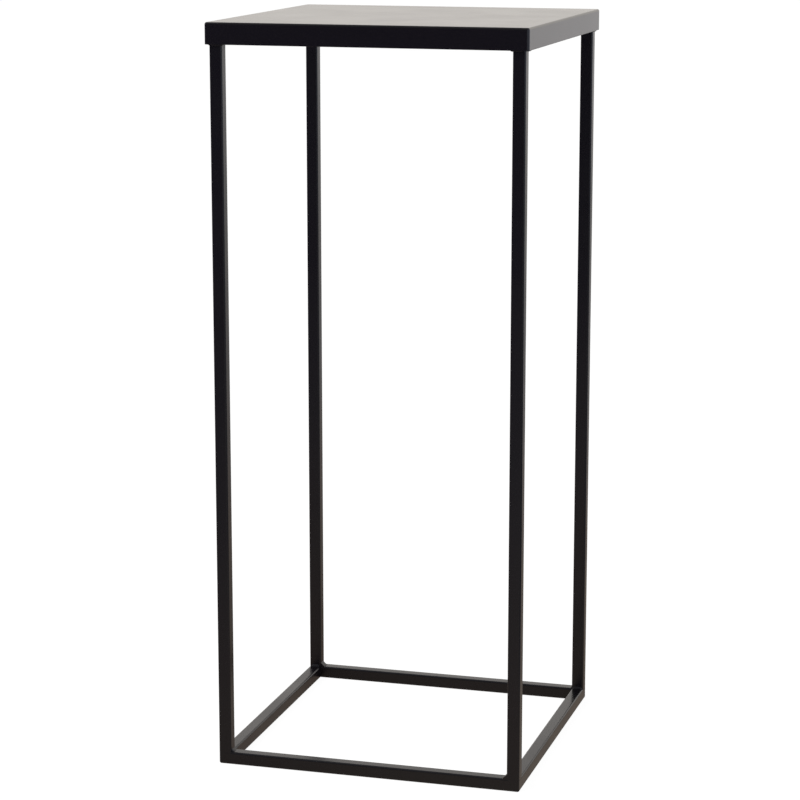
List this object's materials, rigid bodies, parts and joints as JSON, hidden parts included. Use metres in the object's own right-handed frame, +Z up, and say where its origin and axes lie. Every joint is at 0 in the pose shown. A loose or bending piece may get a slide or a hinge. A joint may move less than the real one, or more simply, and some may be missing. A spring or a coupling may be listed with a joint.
{
  "type": "display plinth",
  "caption": "Slim open display plinth: a welded frame of square steel tube under a folded sheet-steel cap with a flat deck, in satin black powder coat.",
  "frame": {"origin": "middle of the base on the floor, where the underside of the base rails lies at z = 0", "axes": "+X to the plinth's right, -Y towards the front, +Z up; the deck faces +Z"},
  "size_m": [0.3, 0.3, 0.7],
  "materials": {
    "cap_powder_coat": "satin black powder coat on sheet steel",
    "frame_powder_coat": "satin black powder coat on square steel tube",
    "weld_powder_coat": "satin black powder coat over steel weld metal"
  },
  "bodies": {
    "root": {"base_rail_front": "frame_powder_coat", "base_rail_left": "frame_powder_coat", "base_rail_rear": "frame_powder_coat", "base_rail_right": "frame_powder_coat", "foot_seam_front_left": "weld_powder_coat", "foot_seam_front_right": "weld_powder_coat", "foot_seam_rear_left": "weld_powder_coat", "foot_seam_rear_right": "weld_powder_coat", "foot_weld_front_left_front_rail": "weld_powder_coat", "foot_weld_front_left_left_rail": "weld_powder_coat", "foot_weld_front_right_front_rail": "weld_powder_coat", "foot_weld_front_right_right_rail": "weld_powder_coat", "foot_weld_rear_left_left_rail": "weld_powder_coat", "foot_weld_rear_left_rear_rail": "weld_powder_coat", "foot_weld_rear_right_rear_rail": "weld_powder_coat", "foot_weld_rear_right_right_rail": "weld_powder_coat", "head_seam_front_left": "weld_powder_coat", "head_seam_front_right": "weld_powder_coat", "head_seam_rear_left": "weld_powder_coat", "head_seam_rear_right": "weld_powder_coat", "head_weld_front_left_front_rail": "weld_powder_coat", "head_weld_front_left_left_rail": "weld_powder_coat", "head_weld_front_right_front_rail": "weld_powder_coat", "head_weld_front_right_right_rail": "weld_powder_coat", "head_weld_rear_left_left_rail": "weld_powder_coat", "head_weld_rear_left_rear_rail": "weld_powder_coat", "head_weld_rear_right_rear_rail": "weld_powder_coat", "head_weld_rear_right_right_rail": "weld_powder_coat", "leg_front_left": "frame_powder_coat", "leg_front_right": "frame_powder_coat", "leg_rear_left": "frame_powder_coat", "leg_rear_right": "frame_powder_coat", "skirt_weld_front_left_front": "weld_powder_coat", "skirt_weld_front_left_left": "weld_powder_coat", "skirt_weld_front_right_front": "weld_powder_coat", "skirt_weld_front_right_right": "weld_powder_coat", "skirt_weld_rear_left_left": "weld_powder_coat", "skirt_weld_rear_left_rear": "weld_powder_coat", "skirt_weld_rear_right_rear": "weld_powder_coat", "skirt_weld_rear_right_right": "weld_powder_coat", "top_rail_front": "frame_powder_coat", "top_rail_left": "frame_powder_coat", "top_rail_rear": "frame_powder_coat", "top_rail_right": "frame_powder_coat", "top_tray": "cap_powder_coat"}
  },
  "joints": []
}
